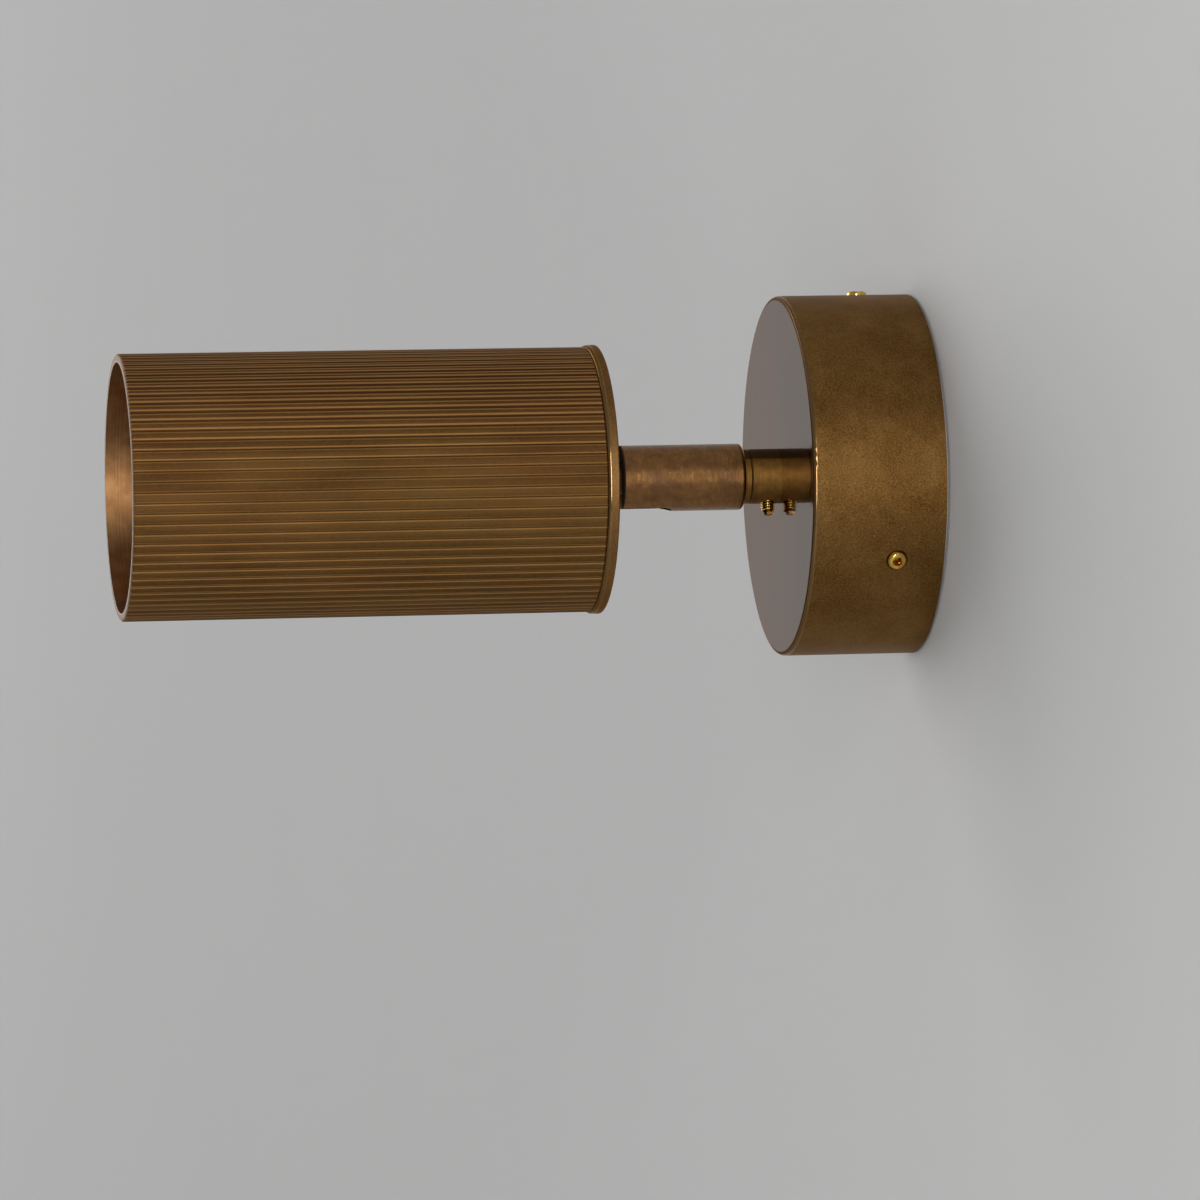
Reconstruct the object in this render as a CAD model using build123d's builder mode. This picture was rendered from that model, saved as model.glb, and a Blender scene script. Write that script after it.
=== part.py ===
from build123d import *
import os
from math import cos, degrees, radians, sin

# Reeded brass wall spotlight: a wall cup, a turning and tilting knuckle, and a reeded head.
# The wall is the plane y = 0, the lamp's axis runs out from it along -Y, and +Z is up.
# A station is a distance from the wall along that axis. All sizes are in millimetres.

os.makedirs("parts", exist_ok=True)

# Clearances, all radial or per side
thread_clearance = 0.05
running_clearance = 0.05
swivel_clearance = 0.10
hole_clearance = 0.20
guide_clearance = 0.30

# Wall cup
cup_diameter = 100.0
cup_depth = 37.4
cup_wall = 3.0
cup_face = 3.0
cup_edge = 1.2
cup_rim_gap = 0.3

# Wall plate
plate_sheet = 2.0
plate_rim_depth = 20.0
plate_bend = 2.0
plate_gap = 0.25
wall_slot_spacing = 60.0
wall_slot_width = 5.0
wall_slot_length = 10.0

# Cable bush
cable_bore = 10.0
cable_height = 20.0
bush_wall = 1.8
bush_lip = 1.6
bush_flange = 1.5

# Socket screws in the cup's side
cup_screw_angles = (90.0, 210.0, 330.0)
cup_screw_station = 13.5
cup_screw_thread = 3.0
cup_screw_length = 7.0
cup_screw_head = 5.5
cup_screw_head_height = 3.0
cup_screw_proud = 1.0
cup_screw_key = 2.5
cup_screw_key_depth = 1.5
cup_screw_edge = 0.9

# Terminal block
block_width = 30.0
block_height = 18.0
block_depth = 13.0
block_corner = 1.5
block_rim_gap = 11.75
pole_count = 3
pole_pitch = 9.6
pole_tube = 5.0
pole_bore = 3.2
pole_recess = 1.5
pole_station = 8.0
pole_screw_thread = 2.6
pole_screw_length = 4.0
pole_screw_pitch = 7.0
block_screw_thread = 3.0
block_screw_head = 3.9
block_screw_head_height = 1.6

# Earth terminal
earth_place = (24.0, 22.0)
earth_thread = 4.0
earth_length = 11.0
earth_tag_sheet = 0.8
earth_tag_width = 8.0
earth_tag_length = 14.0
earth_washer_diameter = 9.0
earth_washer_sheet = 0.8
earth_nut_flats = 7.0
earth_nut_height = 3.2

# Collar on the cup
collar_diameter = 15.2
collar_length = 8.3
collar_floor = 0.6
collar_edge = 0.3
tail_diameter = 10.0
tail_length = 13.0
wire_bore = 7.0
tail_washer_diameter = 18.0
tail_washer_sheet = 1.2
tail_nut_flats = 14.0
tail_nut_height = 3.5

# Grub screw in the collar
grub_angle = -80.0
grub_rise = 3.1
grub_thread = 4.0
grub_proud = 2.4
grub_point = 2.4
grub_point_length = 0.7
grub_key = 2.0
grub_key_depth = 2.0

# Turning spigot with its ring and threaded plug
spigot_diameter = 9.9
spigot_bore = 5.0
spigot_groove_depth = 0.6
ring_diameter = 15.1
ring_length = 1.6
ring_gap = 0.3
plug_thread = 12.4

# Knuckle stem and its tilt slot
stem_diameter = 18.4
stem_length = 34.5
stem_rear_edge = 1.2
stem_front_edge = 0.5
tilt_slot_width = 8.0
tilt_slot_length = 14.9

# Ball neck and the friction seat behind the ball
ball_diameter = 12.0
ball_inset = 9.6
seat_length = 5.0
seat_bore = 5.0
neck_diameter = 8.6
neck_bore = 4.0
neck_gap = 6.3
shoulder_diameter = 13.0
shoulder_length = 2.0
neck_thread = 8.0
neck_thread_length = 11.0
neck_washer_diameter = 14.0
neck_washer_sheet = 1.2
neck_nut_flats = 13.0
neck_nut_height = 5.0

# Rear cap of the head
cap_diameter = 74.4
cap_thickness = 3.2
cap_rear_edge = 0.4
cap_front_edge = 1.0
cap_spigot_length = 8.0
cap_spigot_wall = 3.0

# Reeded head tube
head_diameter = 73.3
head_bore = 68.7
head_length = 129.5
reed_count = 80
reed_height = 0.30
reed_crown = 0.13
groove_width = 0.9
groove_bulge = 0.03
mouth_chamfer = 0.5
rear_chamfer = 0.3

# Pillars, lampholder and its contacts
pillar_spacing = 24.0
pillar_flats = 5.5
pillar_length = 18.0
pillar_thread = 3.0
pillar_stud = 2.0
pillar_tap = 8.0
holder_length = 34.0
holder_width = 18.0
holder_depth = 13.5
holder_screw_reach = 5.0
holder_screw_head = 5.4
holder_screw_head_height = 2.2
pin_spacing = 10.0
socket_diameter = 5.8
socket_depth = 9.0
socket_lip = 4.0
socket_twist = 40.0
contact_wall = 0.5
contact_length = 4.0

# Reflector lamp
pin_shank = 2.6
pin_head = 4.6
pin_head_length = 2.0
pin_length = 7.0
pin_root = 1.5
lamp_base_diameter = 23.0
lamp_base_length = 8.0
lamp_diameter = 50.0
lamp_length = 49.0
lamp_rim = 6.0
lamp_wall = 1.5
bowl_depth = 15.0
bowl_swell = 3.4
chip_diameter = 9.0
chip_height = 1.2
lens_thickness = 2.0
lens_inset = 0.6

# Stations along the lamp's axis
collar_front = cup_depth + collar_length
ring_rear = collar_front + ring_gap
stem_rear = ring_rear + ring_length
stem_front = stem_rear + stem_length
pivot = stem_front - ball_inset
seat_front = pivot - neck_diameter / 2 - guide_clearance
seat_rear = seat_front - seat_length
cap_rear = stem_front + neck_gap
cap_front = cap_rear + cap_thickness
mouth = cap_front + head_length
holder_rear = cap_front + pillar_length
holder_front = holder_rear + holder_depth
lamp_face = holder_front + lamp_length

# Radii that several pieces share
cup_radius = cup_diameter / 2
cup_bore_radius = cup_radius - cup_wall
plate_radius = cup_bore_radius - plate_gap
block_drop = plate_radius - plate_sheet - block_rim_gap - block_height / 2
tail_radius = tail_diameter / 2
spigot_radius = spigot_diameter / 2
plug_radius = plug_thread / 2
ball_radius = ball_diameter / 2
stem_bore_radius = max(plug_radius, ball_radius) + swivel_clearance
neck_radius = neck_diameter / 2
neck_flats = tilt_slot_width - 2 * guide_clearance
head_radius = head_diameter / 2
head_bore_radius = head_bore / 2
cap_spigot_radius = head_bore_radius - swivel_clearance
cup_screw_seat = cup_radius - (cup_screw_head_height - cup_screw_proud)

lamp_axis = Axis((0, 0, 0), (0, -1, 0))
section = Plane(origin=(0, 0, 0), x_dir=(0, -1, 0), z_dir=(-1, 0, 0))


def across(station, x=0.0, z=0.0):
    """A plane square to the lamp's axis, facing away from the wall."""
    return Plane(origin=(x, -station, z), x_dir=(1, 0, 0), z_dir=(0, -1, 0))


def outward(angle, station, radius):
    """A plane square to a radius of the lamp's axis, facing away from the axis."""
    direction = (cos(radians(angle)), 0, sin(radians(angle)))
    origin = (radius * direction[0], -station, radius * direction[2])
    return Plane(origin=origin, x_dir=(0, -1, 0), z_dir=direction)


def polar(radius, angle):
    """A point of a flat sketch, from its radius and its angle in degrees."""
    return (radius * cos(radians(angle)), radius * sin(radians(angle)))


def turn(*outline, mode=Mode.ADD):
    """Turn a closed outline of (station, radius) points about the lamp's axis."""
    with BuildSketch(section) as profile:
        with BuildLine():
            Polyline(*outline, close=True)
        make_face()
    revolve(profile.sketch, axis=lamp_axis, mode=mode)


def socket_screw(thread, length, head, head_height, key, key_depth, edge):
    """A screw along local Z, seated at zero, with a hexagon socket in its head."""
    with BuildPart() as screw:
        Cylinder(thread / 2, length, align=(Align.CENTER, Align.CENTER, Align.MAX))
        Cylinder(head / 2, head_height, align=(Align.CENTER, Align.CENTER, Align.MIN))
        fillet(screw.edges().group_by(Axis.Z)[-1], edge)
        with BuildSketch(Plane.XY.offset(head_height)):
            RegularPolygon(key / 2, 6, major_radius=False)
        extrude(amount=-key_depth, mode=Mode.SUBTRACT)
    return screw.part


def slotted_screw(thread, length, head, head_height):
    """A screw along local Z, seated at zero, with a straight driver slot."""
    slot_depth = head_height / 2
    slot_width = head / 6
    with BuildPart() as screw:
        Cylinder(thread / 2, length, align=(Align.CENTER, Align.CENTER, Align.MAX))
        Cylinder(head / 2, head_height, align=(Align.CENTER, Align.CENTER, Align.MIN))
        with Locations((0, 0, head_height)):
            Box(head, slot_width, 2 * slot_depth, mode=Mode.SUBTRACT)
    return screw.part


def hexagon_nut(flats, height, thread, station, x=0.0, z=0.0):
    """A nut seated on a station and growing towards the head, flats facing sideways."""
    with BuildPart() as nut:
        with BuildSketch(across(station, x, z)):
            RegularPolygon(flats / 2, 6, major_radius=False, rotation=30)
            Circle(thread / 2 + thread_clearance, mode=Mode.SUBTRACT)
        extrude(amount=height)
    return nut.part


def flat_washer(diameter, bore, sheet, station, x=0.0, z=0.0):
    """A washer seated on a station and growing towards the head."""
    with BuildPart() as washer:
        with BuildSketch(across(station, x, z)):
            Circle(diameter / 2)
            Circle(bore / 2 + hole_clearance, mode=Mode.SUBTRACT)
        extrude(amount=sheet)
    return washer.part


def save(piece, name):
    """Label a finished piece and write it under its own name."""
    piece.label = name
    export_step(piece, f"parts/{name}.step")


# Wall cup: a turned shell with counterbored holes for its side screws
with BuildPart() as backplate_cup:
    turn(
        (cup_rim_gap, cup_radius),
        (cup_depth, cup_radius),
        (cup_depth, tail_radius + hole_clearance),
        (cup_depth - cup_face, tail_radius + hole_clearance),
        (cup_depth - cup_face, cup_bore_radius),
        (cup_rim_gap, cup_bore_radius),
    )
    front_circles = backplate_cup.edges().group_by(Axis.Y)[0]
    fillet(front_circles.sort_by(SortBy.RADIUS)[-1], cup_edge)
    with Locations(*[outward(angle, cup_screw_station, cup_radius) for angle in cup_screw_angles]):
        CounterBoreHole(
            radius=cup_screw_thread / 2 + hole_clearance,
            counter_bore_radius=cup_screw_head / 2 + hole_clearance,
            counter_bore_depth=cup_radius - cup_screw_seat,
            depth=2 * cup_wall,
        )
save(backplate_cup.part, "backplate_cup")

# Wall plate: a pressed pan with a tapped rim, wall slots and holes for what it carries
block_seat = plate_sheet
block_screw_places = [(-pole_pitch / 2, -block_drop), (pole_pitch / 2, -block_drop)]
with BuildPart() as wall_plate:
    turn(
        (0, 0),
        (0, plate_radius),
        (plate_rim_depth, plate_radius),
        (plate_rim_depth, plate_radius - plate_sheet),
        (plate_sheet, plate_radius - plate_sheet),
        (plate_sheet, 0),
    )
    wall_circle = wall_plate.edges().group_by(Axis.Y)[-1]
    fillet(wall_circle, plate_bend)
    with BuildSketch(across(0)):
        with GridLocations(wall_slot_spacing, 0, 2, 1):
            SlotOverall(wall_slot_length, wall_slot_width)
        with Locations((0, cable_height)):
            Circle(cable_bore / 2 + bush_wall + thread_clearance)
        with Locations(*block_screw_places):
            Circle(block_screw_thread / 2 + thread_clearance)
        with Locations(earth_place):
            Circle(earth_thread / 2 + thread_clearance)
    extrude(amount=plate_sheet, mode=Mode.SUBTRACT)
    with Locations(*[outward(angle, cup_screw_station, plate_radius) for angle in cup_screw_angles]):
        Hole(cup_screw_thread / 2 + thread_clearance, depth=2 * plate_sheet)
save(wall_plate.part, "wall_plate")

# Socket screws that hold the cup on the wall plate
cup_screw = socket_screw(
    cup_screw_thread, cup_screw_length, cup_screw_head, cup_screw_head_height,
    cup_screw_key, cup_screw_key_depth, cup_screw_edge,
)
with BuildPart() as cup_screws:
    with Locations(*[outward(angle, cup_screw_station, cup_screw_seat) for angle in cup_screw_angles]):
        add(cup_screw)
save(cup_screws.part, "cup_screws")

# Cable bush: a rubber sleeve with a lip on the inner side of the plate
with BuildPart() as cable_bush:
    with BuildSketch(across(0, 0, cable_height)):
        Circle(cable_bore / 2 + bush_wall)
    extrude(amount=plate_sheet)
    with BuildSketch(across(plate_sheet, 0, cable_height)):
        Circle(cable_bore / 2 + bush_wall + bush_lip)
    extrude(amount=bush_flange)
    with Locations(across(plate_sheet + bush_flange, 0, cable_height)):
        Hole(cable_bore / 2)
save(cable_bush.part, "cable_bush")

# Terminal block: a moulded body with a cross hole for each tube and wells for the screws
pole_top = block_height / 2 - pole_recess
block_front = block_seat + block_depth
pole_span = pole_tube / 2 + thread_clearance
with BuildPart() as terminal_block:
    with BuildSketch(across(block_seat, 0, -block_drop)):
        RectangleRounded(block_width, block_height, block_corner)
    extrude(amount=block_depth)
    with BuildSketch(Plane.XY.offset(-block_drop - block_height / 2)):
        with Locations((0, -block_seat - pole_station)):
            with GridLocations(pole_pitch, 0, pole_count, 1):
                Circle(pole_span)
    extrude(amount=block_height, mode=Mode.SUBTRACT)
    with BuildSketch(across(block_seat + pole_station, 0, -block_drop)):
        with GridLocations(pole_pitch, pole_screw_pitch, pole_count, 2):
            Circle(pole_screw_thread / 2 + hole_clearance)
    extrude(until=Until.LAST, mode=Mode.SUBTRACT)
    with Locations(*[across(block_front, x, z) for x, z in block_screw_places]):
        CounterBoreHole(
            radius=block_screw_thread / 2 + hole_clearance,
            counter_bore_radius=block_screw_head / 2 + hole_clearance,
            counter_bore_depth=2 * block_screw_head_height,
            depth=block_depth,
        )
save(terminal_block.part, "terminal_block")

# Brass tubes of the terminal block, tapped for two clamp screws each
with BuildPart() as terminal_tubes:
    with BuildSketch(Plane.XY.offset(-block_drop - pole_top)):
        with Locations((0, -block_seat - pole_station)):
            with GridLocations(pole_pitch, 0, pole_count, 1):
                Circle(pole_tube / 2)
                Circle(pole_bore / 2, mode=Mode.SUBTRACT)
    extrude(amount=2 * pole_top)
    with BuildSketch(across(block_seat + pole_station, 0, -block_drop)):
        with GridLocations(pole_pitch, pole_screw_pitch, pole_count, 2):
            Circle(pole_screw_thread / 2 + thread_clearance)
    extrude(amount=pole_tube, mode=Mode.SUBTRACT)
save(terminal_tubes.part, "terminal_tubes")

# Clamp screws of the terminal block
pole_screw_slot = pole_screw_thread / 5
with BuildPart() as terminal_screws:
    with BuildSketch(across(block_seat + pole_station + pole_bore / 2, 0, -block_drop)):
        with GridLocations(pole_pitch, pole_screw_pitch, pole_count, 2):
            Circle(pole_screw_thread / 2)
    extrude(amount=pole_screw_length)
    screw_top = block_seat + pole_station + pole_bore / 2 + pole_screw_length
    with BuildSketch(across(screw_top, 0, -block_drop)):
        with GridLocations(pole_pitch, pole_screw_pitch, pole_count, 2):
            Rectangle(2 * pole_screw_thread, pole_screw_slot)
    extrude(amount=-pole_screw_slot, mode=Mode.SUBTRACT)
save(terminal_screws.part, "terminal_screws")

# Screws that hold the terminal block on the wall plate
block_screw_seat = block_front - 2 * block_screw_head_height
block_screw = slotted_screw(
    block_screw_thread, block_screw_seat - cup_rim_gap, block_screw_head, block_screw_head_height,
)
with BuildPart() as block_screws:
    with Locations(*[across(block_screw_seat, x, z) for x, z in block_screw_places]):
        add(block_screw)
save(block_screws.part, "block_screws")

# Earth terminal: a stud pressed in the plate, a crimp tag, a washer and a nut
earth_x, earth_z = earth_place
tag_front = plate_sheet + earth_tag_sheet
with BuildPart() as earth_stud:
    with BuildSketch(across(cup_rim_gap, earth_x, earth_z)):
        Circle(earth_thread / 2)
    extrude(amount=earth_length)
save(earth_stud.part, "earth_stud")

with BuildPart() as earth_tag:
    with BuildSketch(across(plate_sheet, earth_x, earth_z)):
        Circle(earth_tag_width / 2)
        with Locations((-earth_tag_length / 2, 0)):
            Rectangle(earth_tag_length, earth_tag_width / 2)
        Circle(earth_thread / 2 + hole_clearance, mode=Mode.SUBTRACT)
    extrude(amount=earth_tag_sheet)
save(earth_tag.part, "earth_tag")

earth_washer = flat_washer(
    earth_washer_diameter, earth_thread, earth_washer_sheet, tag_front, earth_x, earth_z,
)
save(earth_washer, "earth_washer")

earth_nut = hexagon_nut(
    earth_nut_flats, earth_nut_height, earth_thread, tag_front + earth_washer_sheet, earth_x, earth_z,
)
save(earth_nut, "earth_nut")

# Collar: a turned bush on the cup's face, bored for the spigot, on a hollow threaded tail
grub_station = cup_depth + grub_rise
spigot_bore_radius = spigot_radius + running_clearance
with BuildPart() as collar:
    turn(
        (cup_depth - tail_length, wire_bore / 2),
        (cup_depth - tail_length, tail_radius),
        (cup_depth, tail_radius),
        (cup_depth, collar_diameter / 2),
        (collar_front, collar_diameter / 2),
        (collar_front, spigot_bore_radius),
        (cup_depth + collar_floor, spigot_bore_radius),
        (cup_depth + collar_floor, wire_bore / 2),
    )
    collar_rims = collar.edges().group_by(Axis.Y)[0]
    chamfer(collar_rims.sort_by(SortBy.RADIUS)[-1], collar_edge)
    with Locations(outward(grub_angle, grub_station, collar_diameter / 2)):
        Hole(grub_thread / 2 + thread_clearance, depth=collar_diameter / 2)
save(collar.part, "collar")

tail_washer_rear = cup_depth - cup_face - tail_washer_sheet
collar_washer = flat_washer(tail_washer_diameter, tail_diameter, tail_washer_sheet, tail_washer_rear)
save(collar_washer, "collar_washer")

collar_nut = hexagon_nut(
    tail_nut_flats, tail_nut_height, tail_diameter, tail_washer_rear - tail_nut_height,
)
save(collar_nut, "collar_nut")

# Grub screw: its point stands in the spigot's groove and its socket end stays proud
grub_tip = spigot_radius - spigot_groove_depth + hole_clearance
grub_end = collar_diameter / 2 + grub_proud
with BuildPart() as grub_screw:
    with BuildSketch(outward(grub_angle, grub_station, grub_tip)):
        Circle(grub_point / 2)
    extrude(amount=grub_point_length)
    with BuildSketch(outward(grub_angle, grub_station, grub_tip + grub_point_length)):
        Circle(grub_thread / 2)
    extrude(amount=grub_end - grub_tip - grub_point_length)
    with BuildSketch(outward(grub_angle, grub_station, grub_end)):
        RegularPolygon(grub_key / 2, 6, major_radius=False)
    extrude(amount=-grub_key_depth, mode=Mode.SUBTRACT)
save(grub_screw.part, "grub_screw")

# Turning spigot: grooved journal, ring and threaded plug in one turned piece
groove_half = grub_point / 2 + guide_clearance
journal_groove = spigot_radius - spigot_groove_depth
spigot_rear = cup_depth + collar_floor + guide_clearance
with BuildPart() as pan_spigot:
    turn(
        (spigot_rear, spigot_bore / 2),
        (spigot_rear, spigot_radius),
        (grub_station - groove_half, spigot_radius),
        (grub_station - groove_half, journal_groove),
        (grub_station + groove_half, journal_groove),
        (grub_station + groove_half, spigot_radius),
        (ring_rear, spigot_radius),
        (ring_rear, ring_diameter / 2),
        (stem_rear, ring_diameter / 2),
        (stem_rear, plug_radius),
        (seat_rear, plug_radius),
        (seat_rear, spigot_bore / 2),
    )
save(pan_spigot.part, "pan_spigot")

# Knuckle stem: bored from behind to a round seat, slotted below for the neck to swing through
slot_top = neck_radius + guide_clearance
slot_center = stem_front - tilt_slot_length + tilt_slot_width / 2
with BuildPart() as knuckle_stem:
    turn(
        (stem_rear, stem_bore_radius),
        (stem_rear, stem_diameter / 2),
        (stem_front, stem_diameter / 2),
        (stem_front, 0),
        (pivot, 0),
        (pivot, stem_bore_radius),
    )
    fillet(knuckle_stem.edges().group_by(Axis.Y)[-1].sort_by(SortBy.RADIUS)[-1], stem_rear_edge)
    fillet(knuckle_stem.edges().group_by(Axis.Y)[0], stem_front_edge)
    with Locations((0, -pivot, 0)):
        Sphere(ball_radius + swivel_clearance, mode=Mode.SUBTRACT)
    with BuildSketch(Plane.XY.offset(slot_top)):
        with Locations((0, -slot_center)):
            Circle(tilt_slot_width / 2)
        with Locations((0, -(slot_center + stem_front) / 2)):
            Rectangle(tilt_slot_width, stem_front - slot_center)
    extrude(amount=-(slot_top + stem_diameter), mode=Mode.SUBTRACT)
save(knuckle_stem.part, "knuckle_stem")

# Friction seat: a plain ring with a hollow face, pressed on the ball by the plug
with BuildPart() as ball_seat:
    turn(
        (seat_rear, seat_bore / 2),
        (seat_rear, stem_bore_radius - running_clearance),
        (seat_front, stem_bore_radius - running_clearance),
        (seat_front, seat_bore / 2),
    )
    with Locations((0, -pivot, 0)):
        Sphere(ball_radius + running_clearance, mode=Mode.SUBTRACT)
save(ball_seat.part, "ball_seat")

# Ball neck: a bored ball and stalk with two flats that the slot guides, a shoulder and a thread
shoulder_rear = cap_rear - shoulder_length
neck_end = cap_rear + neck_thread_length
with BuildPart() as ball_neck:
    turn(
        (pivot, 0),
        (pivot, neck_radius),
        (shoulder_rear, neck_radius),
        (shoulder_rear, shoulder_diameter / 2),
        (cap_rear, shoulder_diameter / 2),
        (cap_rear, neck_thread / 2),
        (neck_end, neck_thread / 2),
        (neck_end, 0),
    )
    with BuildSketch(across(pivot)):
        Rectangle(neck_diameter, neck_diameter)
        Rectangle(neck_flats, neck_diameter, mode=Mode.SUBTRACT)
    extrude(amount=shoulder_rear - pivot, mode=Mode.SUBTRACT)
    with Locations((0, -pivot, 0)):
        Sphere(ball_radius)
    with Locations(across(neck_end)):
        Hole(neck_bore / 2)
save(ball_neck.part, "ball_neck")

neck_washer = flat_washer(neck_washer_diameter, neck_thread, neck_washer_sheet, cap_front)
save(neck_washer, "neck_washer")

neck_nut = hexagon_nut(neck_nut_flats, neck_nut_height, neck_thread, cap_front + neck_washer_sheet)
save(neck_nut, "neck_nut")

# Rear cap: a turned disc with rounded edges and a spigot that fits inside the tube
pillar_places = [(-pillar_spacing / 2, 0), (pillar_spacing / 2, 0)]
with BuildPart() as rear_cap:
    turn(
        (cap_rear, neck_thread / 2 + hole_clearance),
        (cap_rear, cap_diameter / 2),
        (cap_front, cap_diameter / 2),
        (cap_front, cap_spigot_radius),
        (cap_front + cap_spigot_length, cap_spigot_radius),
        (cap_front + cap_spigot_length, cap_spigot_radius - cap_spigot_wall),
        (cap_front, cap_spigot_radius - cap_spigot_wall),
        (cap_front, neck_thread / 2 + hole_clearance),
    )
    rim_circles = rear_cap.edges().filter_by(GeomType.CIRCLE).group_by(SortBy.RADIUS)[-1]
    fillet(rim_circles.sort_by(Axis.Y)[-1], cap_rear_edge)
    rim_circles = rear_cap.edges().filter_by(GeomType.CIRCLE).group_by(SortBy.RADIUS)[-1]
    fillet(rim_circles.sort_by(Axis.Y)[0], cap_front_edge)
    with Locations(*[across(cap_front, x, z) for x, z in pillar_places]):
        Hole(pillar_thread / 2 + thread_clearance, depth=pillar_stud + guide_clearance)
save(rear_cap.part, "rear_cap")

# Head tube: low crowned reeds parted by round-shouldered grooves, with turned chamfers at both ends
reed_pitch = 360.0 / reed_count
groove_radius = head_radius - reed_height
shoulder_radius = head_radius - reed_crown
shoulder_turn = degrees(groove_width / 2 / head_radius)
flank_radius = (groove_radius + shoulder_radius) / 2 + groove_bulge
with BuildPart() as head_tube:
    with BuildSketch(across(cap_front)):
        with BuildLine():
            for reed in range(reed_count):
                start = reed * reed_pitch
                end = start + reed_pitch
                groove = polar(groove_radius, start)
                rise = polar(flank_radius, start + shoulder_turn / 2)
                shoulder = polar(shoulder_radius, start + shoulder_turn)
                crest = polar(head_radius, (start + end) / 2)
                far_shoulder = polar(shoulder_radius, end - shoulder_turn)
                fall = polar(flank_radius, end - shoulder_turn / 2)
                ThreePointArc(groove, rise, shoulder)
                ThreePointArc(shoulder, crest, far_shoulder)
                ThreePointArc(far_shoulder, fall, polar(groove_radius, end % 360))
        make_face()
        Circle(head_bore_radius, mode=Mode.SUBTRACT)
    extrude(amount=head_length)
    turn(
        (mouth - mouth_chamfer, head_radius),
        (mouth, head_radius - mouth_chamfer),
        (mouth, head_radius),
        mode=Mode.SUBTRACT,
    )
    turn(
        (cap_front + rear_chamfer, head_radius),
        (cap_front, head_radius - rear_chamfer),
        (cap_front, head_radius),
        mode=Mode.SUBTRACT,
    )
save(head_tube.part, "head_tube")

# Hexagon pillars that carry the lampholder, each with a stud in the cap
with BuildPart() as holder_pillars:
    for x, z in pillar_places:
        with BuildSketch(across(cap_front, x, z)):
            RegularPolygon(pillar_flats / 2, 6, major_radius=False, rotation=30)
        extrude(amount=pillar_length)
        with BuildSketch(across(cap_front - pillar_stud, x, z)):
            Circle(pillar_thread / 2)
        extrude(amount=pillar_stud)
    with Locations(*[across(holder_rear, x, z) for x, z in pillar_places]):
        Hole(pillar_thread / 2 + thread_clearance, depth=pillar_tap)
save(holder_pillars.part, "holder_pillars")

# Lampholder: a ceramic block with two twist-lock sockets and two sunk screw holes.
# A pin's head enters by the round hole, then turns under the lip as its shank follows the slot.
pin_circle = pin_spacing / 2
pin_angles = (0, 180)
pin_places = [polar(pin_circle, angle) for angle in pin_angles]
shank_slot = pin_shank + 2 * hole_clearance
holder_well = holder_screw_head_height + guide_clearance
with BuildPart() as lampholder:
    with BuildSketch(across(holder_rear)):
        SlotOverall(holder_length, holder_width)
    extrude(amount=holder_depth)
    with BuildSketch(across(holder_front)):
        for start in pin_angles:
            SlotArc(CenterArc((0, 0), pin_circle, start, socket_twist, mode=Mode.PRIVATE), shank_slot)
        with Locations(*[polar(pin_circle, start + socket_twist) for start in pin_angles]):
            Circle(socket_diameter / 2)
    extrude(amount=-socket_lip, mode=Mode.SUBTRACT)
    with BuildSketch(across(holder_front - socket_lip)):
        for start in pin_angles:
            SlotArc(CenterArc((0, 0), pin_circle, start, socket_twist, mode=Mode.PRIVATE), socket_diameter)
    extrude(amount=socket_lip - socket_depth, mode=Mode.SUBTRACT)
    with Locations(*[across(holder_front, x, z) for x, z in pillar_places]):
        CounterBoreHole(
            radius=pillar_thread / 2 + hole_clearance,
            counter_bore_radius=holder_screw_head / 2 + hole_clearance,
            counter_bore_depth=holder_well,
            depth=holder_depth,
        )
save(lampholder.part, "lampholder")

# Contact clips at the bottom of the sockets, open on the side that a pin's head turns in from
contact_radius = socket_diameter / 2 - thread_clearance
contact_mouth = contact_radius - contact_wall
with BuildPart() as holder_contacts:
    with BuildSketch(across(holder_front - socket_depth)):
        with Locations(*[Location((x, z), angle) for (x, z), angle in zip(pin_places, pin_angles)]):
            Circle(contact_radius)
            Circle(contact_mouth, mode=Mode.SUBTRACT)
            with Locations((0, contact_radius / 2)):
                Rectangle(2 * contact_mouth, contact_radius, mode=Mode.SUBTRACT)
    extrude(amount=contact_length)
save(holder_contacts.part, "holder_contacts")

# Screws that hold the lampholder on its pillars
holder_screw_seat = holder_front - holder_well
holder_screw = slotted_screw(
    pillar_thread, holder_screw_seat - holder_rear + holder_screw_reach,
    holder_screw_head, holder_screw_head_height,
)
with BuildPart() as holder_screws:
    with Locations(*[across(holder_screw_seat, x, z) for x, z in pillar_places]):
        add(holder_screw)
save(holder_screws.part, "holder_screws")

# Reflector lamp: base with two headed pins, a flared body round a reflector bowl, and a front lens
base_front = holder_front + lamp_base_length
with BuildPart() as lamp_base:
    with BuildSketch(across(holder_front)):
        Circle(lamp_base_diameter / 2)
    extrude(amount=lamp_base_length)
    with Locations(*[across(holder_front, x, z) for x, z in pin_places]):
        Cylinder(
            pin_shank / 2 + thread_clearance, 2 * pin_root, mode=Mode.SUBTRACT,
        )
save(lamp_base.part, "lamp_base")

pin_head_rear = holder_front - pin_length
with BuildPart() as lamp_pins:
    with BuildSketch(across(pin_head_rear)):
        with Locations(*pin_places):
            Circle(pin_head / 2)
    extrude(amount=pin_head_length)
    with BuildSketch(across(pin_head_rear + pin_head_length)):
        with Locations(*pin_places):
            Circle(pin_shank / 2)
    extrude(amount=pin_length - pin_head_length + pin_root)
save(lamp_pins.part, "lamp_pins")

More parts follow.
